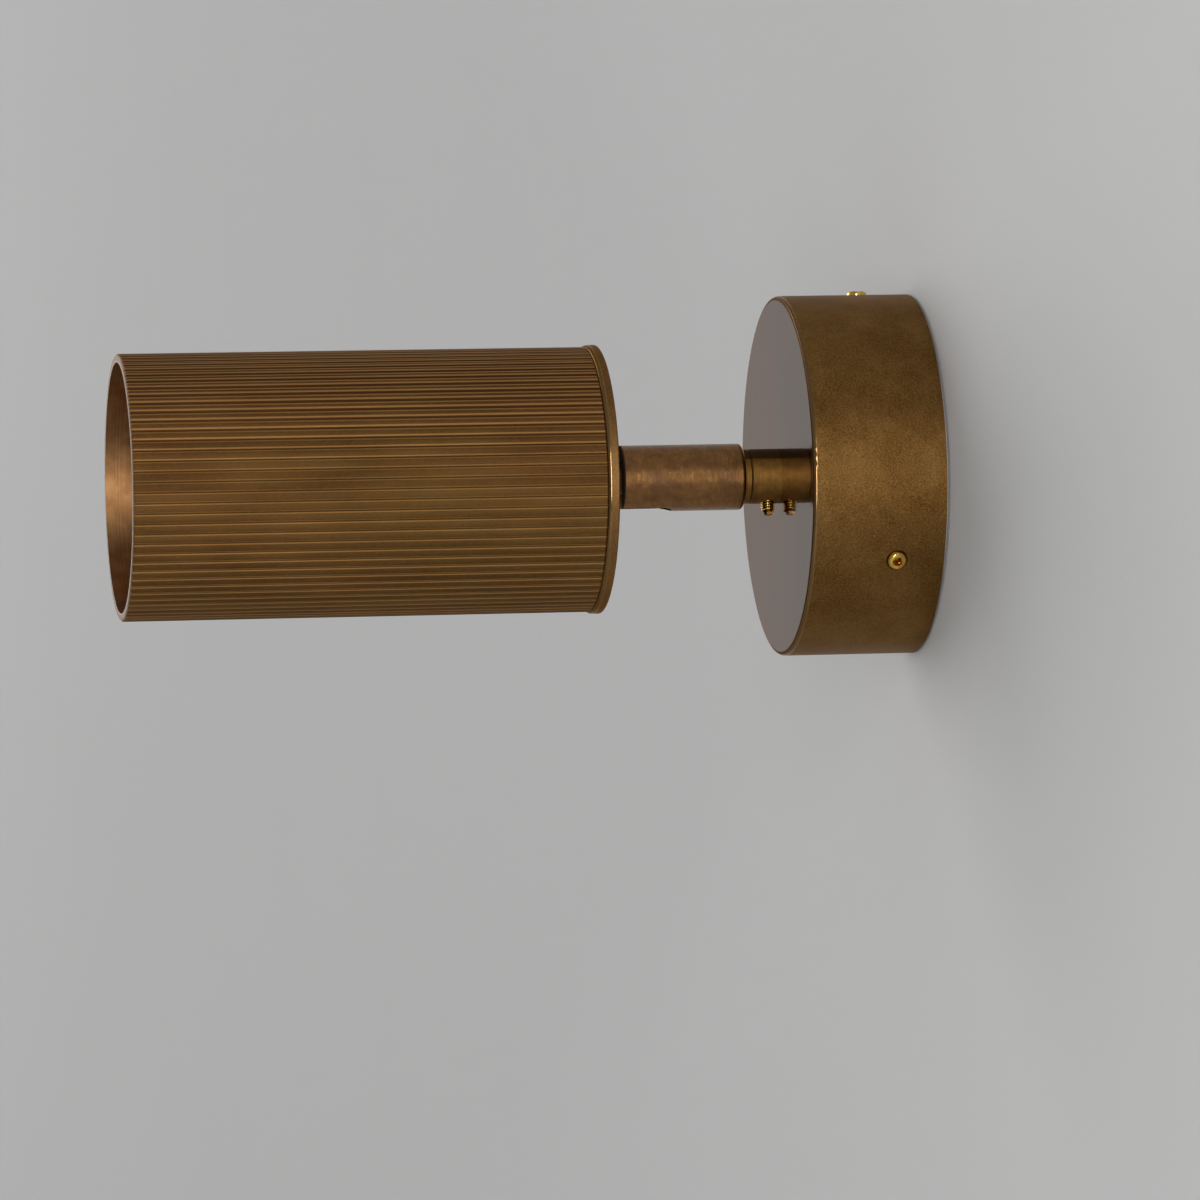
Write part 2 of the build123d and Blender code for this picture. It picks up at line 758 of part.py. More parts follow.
lamp_radius = lamp_diameter / 2
rim_rear = lamp_face - lamp_rim
lens_rear = lamp_face - lens_inset - lens_thickness
lens_radius = lamp_radius - lamp_wall
bowl_floor = lens_rear - bowl_depth
bowl_mouth_radius = lens_radius - lamp_wall
chip_radius = chip_diameter / 2
bowl_floor_radius = chip_radius + lamp_wall
bowl_swell_radius = (bowl_floor_radius + bowl_mouth_radius) / 2 + bowl_swell
with BuildPart() as lamp_body:
    with BuildSketch(section) as body_outline:
        with BuildLine():
            Polyline(
                (bowl_floor + chip_height, 0),
                (base_front, 0),
                (base_front, lamp_base_diameter / 2),
                (rim_rear, lamp_radius),
                (lamp_face, lamp_radius),
                (lamp_face, lens_radius),
                (lens_rear, lens_radius),
                (lens_rear, bowl_mouth_radius),
            )
            ThreePointArc(
                (lens_rear, bowl_mouth_radius),
                ((bowl_floor + lens_rear) / 2, bowl_swell_radius),
                (bowl_floor, bowl_floor_radius),
            )
            Polyline(
                (bowl_floor, bowl_floor_radius),
                (bowl_floor, chip_radius),
                (bowl_floor + chip_height, chip_radius),
                (bowl_floor + chip_height, 0),
            )
        make_face()
    revolve(body_outline.sketch, axis=lamp_axis)
save(lamp_body.part, "lamp_body")

with BuildPart() as lamp_lens:
    with BuildSketch(across(lens_rear)):
        Circle(lens_radius - thread_clearance)
    extrude(amount=lens_thickness)
save(lamp_lens.part, "lamp_lens")
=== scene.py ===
import math

import bpy
from mathutils import Matrix, Vector


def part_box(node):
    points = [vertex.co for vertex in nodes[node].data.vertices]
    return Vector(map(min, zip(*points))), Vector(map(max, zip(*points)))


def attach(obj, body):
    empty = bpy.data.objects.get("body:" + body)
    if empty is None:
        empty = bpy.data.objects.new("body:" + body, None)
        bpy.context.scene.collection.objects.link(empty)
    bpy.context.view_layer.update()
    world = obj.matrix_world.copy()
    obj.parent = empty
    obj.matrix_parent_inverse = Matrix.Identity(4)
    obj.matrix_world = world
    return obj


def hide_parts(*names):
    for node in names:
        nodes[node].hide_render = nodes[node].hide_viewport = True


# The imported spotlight: wall plane at y = 0, lamp axis out along -Y, +Z up, all in metres
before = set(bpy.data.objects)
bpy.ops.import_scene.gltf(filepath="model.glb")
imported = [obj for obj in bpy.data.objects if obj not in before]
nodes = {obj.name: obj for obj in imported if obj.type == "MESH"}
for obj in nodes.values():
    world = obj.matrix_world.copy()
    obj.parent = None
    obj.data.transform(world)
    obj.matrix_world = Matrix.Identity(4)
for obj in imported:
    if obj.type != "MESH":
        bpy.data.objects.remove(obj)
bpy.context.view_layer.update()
mm = 0.001
print("frame loaded with", len(nodes), "pieces")


# How far a turned piece reaches along and across the lamp's axis, in millimetres
def reach(node):
    low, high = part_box(node)
    return {"rear": -high.y / mm, "front": -low.y / mm, "radius": high.x / mm}


cup = reach("backplate_cup")
cap = reach("rear_cap")
tube = reach("head_tube")
stem = reach("knuckle_stem")
lampBody = reach("lamp_body")
lampBase = reach("lamp_base")


# Camera, as the photograph was taken: long lens, a little below the lamp and a little rolled
shot = {
    "frame": 1200,  # pixels across the photograph
    "focal": 6909,  # focal length in those pixels
    "sensor": 36.0,
    "clip": (0.05, 60),
    "place": (1.8820, -0.4226, -0.0657),
    "aim": (-0.0012, -0.0880, -0.0334),
    "up": (0.0207, 0.0210, 0.9996),
}


def photoCamera():
    lens = bpy.data.cameras.new("photoCamera")
    lens.sensor_width = shot["sensor"]
    lens.lens = shot["focal"] / shot["frame"] * shot["sensor"]
    lens.clip_start, lens.clip_end = shot["clip"]
    camera = bpy.data.objects.new("photoCamera", lens)
    bpy.context.scene.collection.objects.link(camera)
    back = (Vector(shot["place"]) - Vector(shot["aim"])).normalized()
    right = Vector(shot["up"]).cross(back).normalized()
    turn = Matrix((right, back.cross(right), back)).transposed()
    camera.matrix_world = Matrix.Translation(shot["place"]) @ turn.to_4x4()
    bpy.context.scene.camera = camera


photoCamera()
bpy.context.scene.view_settings.view_transform = "Standard"
print("camera set")


# Shader sums: a wire is one output socket, and plain maths on it adds Math nodes
class Wire:
    def __init__(self, finish, socket):
        self.finish = finish
        self.socket = socket

    def maths(self, operation, *terms):
        return self.finish.node("ShaderNodeMath", {"operation": operation}, dict(enumerate(terms)))

    def through(self, operation):
        return self.maths(operation, self)

    def __add__(self, other):
        return self.maths("ADD", self, other)

    def __radd__(self, other):
        return self.maths("ADD", other, self)

    def __sub__(self, other):
        return self.maths("SUBTRACT", self, other)

    def __rsub__(self, other):
        return self.maths("SUBTRACT", other, self)

    def __mul__(self, other):
        return self.maths("MULTIPLY", self, other)

    def __rmul__(self, other):
        return self.maths("MULTIPLY", other, self)

    def __pow__(self, other):
        return self.maths("POWER", self, other)

    def __abs__(self):
        return self.through("ABSOLUTE")


class Finish:
    def __init__(self, name):
        self.material = bpy.data.materials.new(name)
        self.material.use_nodes = True
        self.tree = self.material.node_tree
        self.shader = self.tree.nodes["Principled BSDF"]

    # any node: its type, its settings, its socket values or wires, and the output that is wanted
    def node(self, kind, settings, values, output=0):
        made = self.tree.nodes.new(kind)
        for key, value in settings.items():
            if key == "stops":
                self.setStops(made.color_ramp, value)
            else:
                setattr(made, key, value)
        for key, value in values.items():
            self.feed(made.inputs[key], value)
        return Wire(self, made.outputs[output])

    def setStops(self, ramp, stops):
        while len(ramp.elements) < len(stops):
            ramp.elements.new(1.0)
        for element, (place, colour) in zip(ramp.elements, stops):
            element.position = place
            element.color = (*colour, 1.0)

    def feed(self, socket, value):
        if isinstance(value, Wire):
            self.tree.links.new(value.socket, socket)
        elif socket.type == "RGBA" and len(value) == 3:
            socket.default_value = (*value, 1.0)
        else:
            socket.default_value = value

    def set(self, **values):
        for name, value in values.items():
            self.feed(self.shader.inputs[name.replace("_", " ")], value)

    # where a point is on the lamp: millimetres out from the wall, from the axis, and round it
    def onLamp(self):
        self.point = self.node("ShaderNodeTexCoord", {}, {}, "Object")
        parts = [self.node("ShaderNodeSeparateXYZ", {}, {0: self.point}, axis) for axis in "XYZ"]
        self.side, behind, self.height = [part * (1.0 / mm) for part in parts]
        self.station = behind * -1.0
        self.radius = (self.side * self.side + self.height * self.height) ** 0.5
        self.angle = self.side.maths("ARCTAN2", self.height, self.side)

    def noise(self, size, detail=2.0, vector=None):
        values = {"Vector": vector or self.point, "Scale": 1.0 / (size * mm), "Detail": detail}
        return self.node("ShaderNodeTexNoise", {}, values)

    def cells(self, size, output):
        values = {"Vector": self.point, "Scale": 1.0 / (size * mm)}
        return self.node("ShaderNodeTexVoronoi", {}, values, output)

    # a place for noise that runs long or short along the lamp's axis
    def stretched(self, along):
        return self.node("ShaderNodeMapping", {}, {"Vector": self.point, "Scale": (1.0, along, 1.0)})

    # noise that changes along one measure only, as tool marks do
    def marks(self, measure, size, detail=2.0):
        along = self.node("ShaderNodeCombineXYZ", {}, {"X": measure * mm})
        return self.noise(size, detail, along)

    # 0 below the first value, 1 above the second, with a soft step between
    def fade(self, value, low, high):
        settings = {"interpolation_type": "SMOOTHSTEP"}
        return self.node("ShaderNodeMapRange", settings, {"Value": value, "From Min": low, "From Max": high})

    def band(self, value, low, high, soft):
        return self.fade(value, low - soft, low + soft) * (1.0 - self.fade(value, high - soft, high + soft))

    # plain numbers are blended by maths, colours are mixed by a node
    def blend(self, share, first, second):
        return first * (1.0 - share) + share * second

    def mix(self, share, first, second):
        settings = {"data_type": "RGBA", "clamp_factor": True}
        return self.node("ShaderNodeMix", settings, {0: share, 6: first, 7: second}, 2)

    def tinted(self, colour, tint):
        settings = {"data_type": "RGBA", "blend_type": "MULTIPLY"}
        return self.node("ShaderNodeMix", settings, {0: 1.0, 6: colour, 7: tint}, 2)

    def ramp(self, value, *stops):
        return self.node("ShaderNodeValToRGB", {"stops": stops}, {"Fac": value})

    # a ramp from a look's dark through its body to its gold
    def shades(self, value, look, *places):
        return self.ramp(value, *zip(places, (look["dark"], look["body"], look["gold"])))

    def bump(self, height, distance, under=None):
        values = {"Height": height, "Distance": distance * mm, "Strength": 1.0}
        if under:
            values["Normal"] = under
        return self.node("ShaderNodeBump", {}, values)


def dress(finish, *names):
    for name in names:
        mesh = nodes[name].data
        mesh.materials.clear()
        mesh.materials.append(finish.material)


# the object just added, named, with its placement applied
def startPiece(name):
    piece = bpy.context.object
    piece.name = name
    bpy.ops.object.transform_apply(location=True, rotation=True, scale=True)
    return piece


# Stage: a pale wall behind the lamp with a hole under the cup, and a pale floor well below
room = {
    "wallColour": (0.645, 0.645, 0.64),
    "floorColour": (0.50, 0.50, 0.495),
    "roughness": 0.85,
    "cloud": 160.0,  # millimetres across, as the grain
    "cloudTint": 0.01,
    "grain": 0.9,
    "grainDepth": 0.05,
    "wallGap": 0.0005,  # metres, as the lengths below
    "holeRadius": 0.0472,
    "holeCorners": 96,
    "reach": 7.0,
    "floorDrop": 1.3,
    "floorSquares": 4,
}


def paint(name, colour, seenFromBehind):
    coat = Finish(name)
    coat.point = coat.node("ShaderNodeTexCoord", {}, {}, "Object")
    cloud = coat.noise(room["cloud"], 3.0)
    darker, paler = [[c * (1.0 + tint) for c in colour] for tint in (-room["cloudTint"], room["cloudTint"])]
    coat.set(Base_Color=coat.mix(cloud, darker, paler))
    coat.set(Roughness=room["roughness"], Normal=coat.bump(coat.noise(room["grain"]), room["grainDepth"]))
    if not seenFromBehind:
        back = coat.node("ShaderNodeNewGeometry", {}, {}, "Backfacing")
        back = back * coat.node("ShaderNodeLightPath", {}, {}, "Is Camera Ray")
        clear = coat.node("ShaderNodeBsdfTransparent", {}, {})
        skin = Wire(coat, coat.shader.outputs[0])
        face = coat.node("ShaderNodeMixShader", {}, {0: back, 1: skin, 2: clear})
        coat.feed(coat.tree.nodes["Material Output"].inputs["Surface"], face)
    return coat.material


def stageWall():
    bpy.ops.object.select_all(action="DESELECT")
    bpy.ops.mesh.primitive_circle_add(
        vertices=room["holeCorners"], radius=room["holeRadius"], location=(0, room["wallGap"], 0),
        rotation=(math.pi / 2, 0, 0),
    )
    wall = startPiece("stageWall")
    bpy.ops.object.mode_set(mode="EDIT")
    bpy.ops.mesh.select_all(action="SELECT")
    bpy.ops.mesh.extrude_edges_move()
    grow = room["reach"] / room["holeRadius"]
    bpy.ops.transform.resize(value=(grow, 1, grow), center_override=(0, room["wallGap"], 0))
    bpy.ops.object.mode_set(mode="OBJECT")
    if wall.data.polygons[0].normal.y > 0:
        wall.data.flip_normals()
    wall.data.materials.append(paint("wallPaint", room["wallColour"], False))


def stageFloor():
    bpy.ops.object.select_all(action="DESELECT")
    bpy.ops.mesh.primitive_grid_add(
        x_subdivisions=room["floorSquares"], y_subdivisions=room["floorSquares"], size=2 * room["reach"],
        location=(0, 0, -room["floorDrop"]),
    )
    floor = startPiece("stageFloor")
    floor.data.materials.append(paint("floorPaint", room["floorColour"], True))


stageWall()
stageFloor()
print("stage set")


# Soft studio light: a broad key from the far side, a tall box beside the camera, one for the far wall
# and one behind the wall
keySun = {"from": (-0.70, -0.66, 0.12), "strength": 1.30, "spread": 53.0}
softboxes = {
    "sideBox": {"place": (2.42, -0.63, 0.02), "aim": (0, -0.1, 0), "size": (0.45, 1.7), "watts": 33},
    "farBox": {"place": (-4.6, -3.4, 0.6), "aim": (-3.0, 0, 0), "size": (1.6, 1.6), "watts": 17},
    "rearBox": {"place": (1.0, 2.6, 1.2), "aim": (0, 0, 0), "size": (1.6, 1.6), "watts": 60},
}
sky = {"colour": (0.275, 0.275, 0.278), "strength": 1.0}


def hang(name, lamp, place, aim):
    holder = bpy.data.objects.new(name, lamp)
    bpy.context.scene.collection.objects.link(holder)
    holder.location = place
    holder.rotation_euler = (Vector(aim) - Vector(place)).to_track_quat("-Z", "Y").to_euler()
    holder.visible_camera = False


def sunLight():
    lamp = bpy.data.lights.new("keySun", "SUN")
    lamp.energy = keySun["strength"]
    lamp.angle = math.radians(keySun["spread"])
    hang("keySun", lamp, keySun["from"], (0, 0, 0))


def softbox(name, box):
    lamp = bpy.data.lights.new(name, "AREA")
    lamp.shape = "RECTANGLE"
    lamp.size, lamp.size_y = box["size"]
    lamp.energy = box["watts"]
    hang(name, lamp, box["place"], box["aim"])


sunLight()
for name, box in softboxes.items():
    softbox(name, box)
world = bpy.data.worlds.new("studioSky")
world.use_nodes = True
skyNode = world.node_tree.nodes["Background"]
skyNode.inputs["Color"].default_value = (*sky["colour"], 1.0)
skyNode.inputs["Strength"].default_value = sky["strength"]
bpy.context.scene.world = world
print("lights set")


# Mottled patina that the cup and the rear cap share: sizes in millimetres, and each layer's share
mottle = {
    "clouds": 14.0,
    "blots": 2.6,
    "grain": 0.42,
    "cloudShare": 0.40,
    "blotShare": 0.15,
    "grainShare": 0.80,
    "offset": 0.175,
}


def patina(brass, look):
    clouds = brass.noise(mottle["clouds"], 3.0)
    blots = brass.noise(mottle["blots"], 3.0)
    grain = brass.noise(mottle["grain"], 2.0)
    share = clouds * mottle["cloudShare"] + blots * mottle["blotShare"] + grain * mottle["grainShare"]
    return brass.shades(share - mottle["offset"], look, 0.30, 0.50, 0.72), grain, blots


# Cup: brown-gold and finely mottled, with a smooth lacquered face whose colour holds a painted reflection,
# and a dark band of painted shade round it on the front edge
cupLook = {
    "dark": (0.112, 0.050, 0.013),
    "body": (0.188, 0.095, 0.025),
    "gold": (0.270, 0.152, 0.049),
    "edge": (0.270, 0.155, 0.068),
    "edgeWidth": 1.2,  # millimetres, as all widths, sizes and depths below
    "edgeLean": 0.065,  # how far the shading rounds the last facets of the edge
    "leanEnds": (-0.05, 0.60),
    # painted shade: a dark band on the face side of the front edge, where the edge mirrors dark surroundings
    "paintedEdgeShade": (0.040, 0.016, 0.005),
    "paintedEdgeShadeWidth": 0.75,
    # the face's brass colour with a painted reflection: warm on the far side, grey on the near side
    "farFaceReflection": (0.310, 0.126, 0.046),
    "nearFaceReflection": (0.150, 0.110, 0.070),
    "tide": (-30.0, 35.0),  # where the painted reflection turns from the far side's colour into the near side's
    "tideWander": 60.0,
    "tideSize": 24.0,
    "ringPitch": 0.35,
    "ringDepth": 0.002,
    "grainDepth": 0.014,
    "grazing": (0.85, 0.74, 0.65),
    "sideRoughness": 0.42,
    "grainRoughness": 0.14,
    "edgeRoughness": 0.20,
    "paintedEdgeShadeRoughness": 0.65,
    "faceRoughness": 0.08,
    "ringRoughness": 0.05,
    "coatRoughness": 0.04,
    "coatIor": 1.5,
}


def cupBrass():
    brass = Finish("cupBrass")
    brass.onLamp()
    colour, grain, blots = patina(brass, cupLook)
    front = cup["front"]
    rim = cup["radius"] - cupLook["edgeWidth"]
    shoulder = front - cupLook["edgeWidth"]
    paintedEdgeShadeEnd = rim + cupLook["paintedEdgeShadeWidth"]
    onRim = brass.fade(brass.radius, rim - 0.1, rim + 0.1)
    edge = onRim * brass.fade(brass.station, shoulder - 0.2, shoulder + 0.3)
    # painted shade on the face side of the front edge, standing in for the dark surroundings it mirrors
    paintedEdgeShade = edge * (1.0 - brass.fade(brass.radius, paintedEdgeShadeEnd - 0.15, paintedEdgeShadeEnd))
    face = brass.fade(brass.station, front - 0.06, front - 0.02) * (1.0 - onRim)
    rings = brass.marks(brass.radius, cupLook["ringPitch"])
    # a painted reflection across the face: warm on the far side, grey on the near side
    wander = (brass.noise(cupLook["tideSize"], 2.0) - 0.5) * cupLook["tideWander"]
    across = brass.fade(brass.side + wander, *cupLook["tide"])
    faceColourAndReflection = brass.mix(across, cupLook["farFaceReflection"], cupLook["nearFaceReflection"])
    colour = brass.mix(edge * (0.7 + blots * 0.3), colour, cupLook["edge"])
    colour = brass.mix(paintedEdgeShade * 0.9, colour, cupLook["paintedEdgeShade"])
    colour = brass.mix(face * 0.9, colour, faceColourAndReflection)
    rough = cupLook["sideRoughness"] + (grain - 0.5) * cupLook["grainRoughness"]
    rough = brass.blend(edge, rough, cupLook["edgeRoughness"])
    rough = brass.blend(paintedEdgeShade, rough, cupLook["paintedEdgeShadeRoughness"])
    rough = brass.blend(face, rough, cupLook["faceRoughness"] + rings * cupLook["ringRoughness"])
    brass.set(Base_Color=colour, Metallic=1.0, Roughness=rough, Specular_Tint=cupLook["grazing"])
    brass.set(Coat_Weight=face, Coat_Roughness=cupLook["coatRoughness"], Coat_IOR=cupLook["coatIor"])
    leanStart, leanEnd = cupLook["leanEnds"]
    lean = brass.fade(brass.station, shoulder + leanStart, shoulder + leanEnd) * onRim
    fine = brass.bump(grain * (1.0 - face), cupLook["grainDepth"])
    rounded = brass.bump(lean, cupLook["edgeLean"], fine)
    brass.set(Normal=brass.bump(rings * face, cupLook["ringDepth"], rounded))
    return brass


# Reeded tube: low reeds that differ a little, grime in the grooves with painted shade along the top,
# shoulders bright from wear and from a painted highlight at the top and the bottom, turned bore
reedLook = {
    "count": 80,
    "dark": (0.124, 0.059, 0.018),
    "body": (0.178, 0.089, 0.028),
    "gold": (0.240, 0.129, 0.043),
    "olive": (0.97, 1.02, 0.97),
    "red": (1.03, 0.97, 0.99),
    "tint": 45.0,  # millimetres across, as the next five sizes
    "clouds": 26.0,
    "streaks": 4.0,
    "grain": 0.55,
    "boreWear": 5.0,
    "boreMarks": 0.45,
    "top": (0.0, 0.75),  # shares of the radius over which the painted shade and the painted highlight grow towards the top
    # painted shade that darkens the whole tube towards the top
    "topShade": 0.08,
    "foot": (0.35, 0.75),
    "fainterGrooves": (155.0, 192.0),  # stations between which the groove lines grow fainter
    "grimeAndShade": (0.080, 0.036, 0.012),
    "grimeAndShadeWidth": 0.17,  # millimetres from the middle of a groove
    "topShadeWidth": 0.52,
    "grimeAndShadeSoft": 0.13,
    "grooveDarkening": {"all": 0.05, "streaks": 0.7, "top": 0.25, "rear": 0.25},  # how dark the groove lines are where: grime, with painted shade along the top
    # shoulder colour: bright metal from wear, and a painted highlight at the top and the bottom
    "shoulder": (0.60, 0.320, 0.108),
    "shoulderWidth": 0.48,
    "topShoulderWidth": 1.10,
    "shoulderSoft": 0.08,
    "wearAndGlint": {"all": 0.03, "streaks": 0.20, "top": 0.38, "foot": 0.45},  # how much the shoulders brighten where: wear, with a painted highlight at the top and the bottom
    "boreRadius": 34.6,
    "inside": (0.37, 0.195, 0.082),
    "worn": (0.27, 0.130, 0.052),
    "lip": (0.20, 0.140, 0.100),
    "chamfer": (0.42, 0.32, 0.24),
    "depth": 0.012,
    "roughness": 0.76,
    "grainRoughness": 0.12,
    "shoulderRoughness": 0.60,
    "boreRoughness": 0.45,
    "markRoughness": 0.25,
    "lipPolish": 0.10,
}


def reedBrass():
    brass = Finish("reedBrass")
    brass.onLamp()
    turn = brass.angle * (reedLook["count"] / (2 * math.pi)) + reedLook["count"]
    own = brass.node("ShaderNodeTexWhiteNoise", {"noise_dimensions": "1D"}, {"W": turn.through("FLOOR")})
    pitch = 2 * math.pi * tube["radius"] / reedLook["count"]
    fromGroove = (0.5 - abs(turn.through("FRACT") - 0.5)) * pitch
    outer = brass.fade(brass.radius, reedLook["boreRadius"], reedLook["boreRadius"] + 0.4)
    level = brass.height * (1.0 / tube["radius"])
    top = brass.fade(level, *reedLook["top"])
    foot = brass.fade(level * -1.0, *reedLook["foot"])
    rear = 1.0 - brass.fade(brass.station, *reedLook["fainterGrooves"])
    # painted shade: the groove lines, and the shoulders' painted highlight, widen towards the top
    grimeAndShadeWidth = reedLook["grimeAndShadeWidth"] + top * (reedLook["topShadeWidth"] - reedLook["grimeAndShadeWidth"])
    widening = reedLook["topShoulderWidth"] - reedLook["shoulderWidth"]
    shoulderWidth = reedLook["shoulderWidth"] + top * widening
    grimeAndShade = (1.0 - brass.fade(fromGroove, grimeAndShadeWidth - reedLook["grimeAndShadeSoft"], grimeAndShadeWidth)) * outer
    shoulder = brass.band(fromGroove, grimeAndShadeWidth, shoulderWidth, reedLook["shoulderSoft"]) * outer
    streaks = brass.noise(reedLook["streaks"], 3.0, brass.stretched(0.10))
    clouds = brass.noise(reedLook["clouds"], 3.0)
    grain = brass.noise(reedLook["grain"], 2.0, brass.stretched(0.45))
    # the tube's colour is darkened towards the top as painted shade
    share = clouds * 0.25 + streaks * 0.35 + grain * 0.30 + own * 0.10 - top * reedLook["topShade"]
    colour = brass.shades(share, reedLook, 0.34, 0.50, 0.70)
    tint = brass.noise(reedLook["tint"], 2.0, brass.stretched(0.5))
    colour = brass.tinted(colour, brass.ramp(tint, (0.38, reedLook["olive"]), (0.62, reedLook["red"])))
    glintShares = reedLook["wearAndGlint"]
    # shoulders brightened by wear, and by a painted highlight at the top and the bottom
    wearAndGlint = shoulder * (glintShares["all"] + streaks * glintShares["streaks"] + top * glintShares["top"] + foot * glintShares["foot"])
    colour = brass.mix(wearAndGlint, colour, reedLook["shoulder"])
    kept = reedLook["grooveDarkening"]
    # groove lines darkened by grime, with painted shade that grows towards the top
    grooveDarkening = streaks * kept["streaks"] + top * kept["top"] + rear * kept["rear"] + kept["all"]
    colour = brass.mix(grimeAndShade * grooveDarkening, colour, reedLook["grimeAndShade"])
    marks = brass.marks(brass.station, reedLook["boreMarks"], 3.0)
    wear = brass.fade(brass.noise(reedLook["boreWear"], 3.0) * 0.5 + marks * 0.5, 0.40, 0.60)
    colour = brass.mix(1.0 - outer, colour, brass.mix(wear, reedLook["worn"], reedLook["inside"]))
    lip = brass.fade(brass.station, tube["front"] - 0.08, tube["front"] - 0.02)
    chamfer = brass.fade(brass.station, tube["front"] - 0.32, tube["front"] - 0.15) * outer
    colour = brass.mix(chamfer * 0.6, colour, reedLook["chamfer"])
    brass.set(Base_Color=brass.mix(lip * 0.9, colour, reedLook["lip"]), Metallic=1.0)
    rough = reedLook["roughness"] + (reedLook["shoulderRoughness"] - reedLook["roughness"]) * shoulder
    bore = reedLook["boreRoughness"] + (marks - 0.5) * reedLook["markRoughness"]
    rough = brass.blend(outer, bore, rough) + (grain - 0.5) * reedLook["grainRoughness"]
    brass.set(Roughness=rough - lip * reedLook["lipPolish"])
    fine = brass.bump(grain, reedLook["depth"])
    brass.set(Normal=brass.bump(marks * (1.0 - outer), reedLook["depth"], fine))
    return brass


# Rear cap of the head: as the tube, with a smooth front edge
capLook = {
    "dark": (0.14, 0.068, 0.022),
    "body": (0.22, 0.110, 0.038),
    "gold": (0.29, 0.155, 0.055),
    "edge": (0.28, 0.165, 0.062),
    "rim": (0.8, 0.2),  # millimetres inside the cap's radius between which the edge starts
    "flange": (1.7, 2.3),  # the same in front of its rear
    "grazing": (0.70, 0.56, 0.45),
    "grainDepth": 0.012,
    "roughness": 0.40,
    "grainRoughness": 0.10,
    "edgeRoughness": 0.16,
}


def capBrass():
    brass = Finish("capBrass")
    brass.onLamp()
    colour, grain, blots = patina(brass, capLook)
    rim = brass.fade(brass.radius, *[cap["radius"] - inside for inside in capLook["rim"]])
    flange = brass.fade(brass.station, *[cap["rear"] + ahead for ahead in capLook["flange"]])
    edge = rim * flange
    brass.set(Base_Color=brass.mix(edge * (0.7 + blots * 0.3), colour, capLook["edge"]), Metallic=1.0)
    rough = capLook["roughness"] + (grain - 0.5) * capLook["grainRoughness"]
    brass.set(Roughness=brass.blend(edge, rough, capLook["edgeRoughness"]))
    brass.set(Specular_Tint=capLook["grazing"], Normal=brass.bump(grain, capLook["grainDepth"]))
    return brass


# Knuckle stem and ball neck: brown patina with a purple cast, dull and darkened with painted shade at the
# stem's open end and along the neck, in the gap under the rear cap
stemLook = {
    "dark": (0.158, 0.077, 0.030),
    "body": (0.234, 0.114, 0.041),
    "gold": (0.315, 0.166, 0.060),
    "blots": 2.4,  # millimetres across, as the next three sizes
    "spots": 0.9,
    "grain": 0.4,
    "stains": 6.0,
    "stain": (0.165, 0.086, 0.046),
    "stainShare": 0.45,
    # painted shade for the gap under the rear cap
    "gapShade": (0.020, 0.011, 0.005),
    "gapShadeEnds": (0.60, 0.25),  # millimetres behind the stem's open end
    "neckShade": 0.55,
    "lead": 0.07,  # millimetres between tool marks
    "markDepth": 0.015,
    "grainDepth": 0.008,
    "roughness": 0.26,
    "spread": 0.06,
    "neckRoughness": 0.12,  # more than the stem's
    "gapShadeRoughness": 0.80,
}


def stemPatina(name):
    brass = Finish(name)
    brass.onLamp()
    blots = brass.noise(stemLook["blots"], 4.0)
    spots = brass.noise(stemLook["spots"], 3.0)
    grain = brass.noise(stemLook["grain"], 2.0)
    colour = brass.shades(blots * 0.55 + spots * 0.20 + grain * 0.25, stemLook, 0.34, 0.50, 0.68)
    stain = brass.fade(brass.noise(stemLook["stains"], 3.0), 0.48, 0.64)
    brass.colour = brass.mix(stain * stemLook["stainShare"], colour, stemLook["stain"])
    spread = stemLook["spread"]
    brass.rough = stemLook["roughness"] + (grain - 0.5) * spread + (blots - 0.5) * spread
    turned = brass.bump(brass.marks(brass.station, stemLook["lead"], 0.0), stemLook["markDepth"])
    brass.set(Normal=brass.bump(spots * 0.3 + grain * 0.7, stemLook["grainDepth"], turned))
    return brass


def stemBrass():
    brass = stemPatina("stemBrass")
    # painted shade over the stem's open end and its edge, in the gap under the rear cap
    gapShade = brass.fade(brass.station, *[stem["front"] - behind for behind in stemLook["gapShadeEnds"]])
    colour = brass.mix(gapShade * 0.9, brass.colour, stemLook["gapShade"])
    brass.set(Base_Color=colour, Metallic=1.0 - gapShade * 0.8)
    brass.set(Roughness=brass.blend(gapShade, brass.rough, stemLook["gapShadeRoughness"]))
    return brass


def neckBrass():
    brass = stemPatina("neckBrass")
    # painted shade over the neck, in the gap between the stem and the rear cap
    colour = brass.mix(stemLook["neckShade"], brass.colour, stemLook["gapShade"])
    brass.set(Base_Color=colour, Metallic=1.0, Roughness=brass.rough + stemLook["neckRoughness"])
    return brass


# Collar and spigot: turned brass with fine tool marks round the axis, darker along the top
turnedLook = {
    "dark": (0.10, 0.047, 0.012),
    "gold": (0.32, 0.169, 0.044),
    "blots": 2.4,  # millimetres across
    "darkTop": (0.045, 0.020, 0.006),
    "darkTopFrom": 0.58,  # share of the height where the darkening starts
    "darkTopWander": 0.8,
    "darkTopRise": 0.5,
    "darkTopShare": 0.85,
    "lead": 0.24,  # millimetres between tool marks
    "markDepth": 0.03,
    "roughness": 0.58,
    "blotRoughness": 0.15,
}


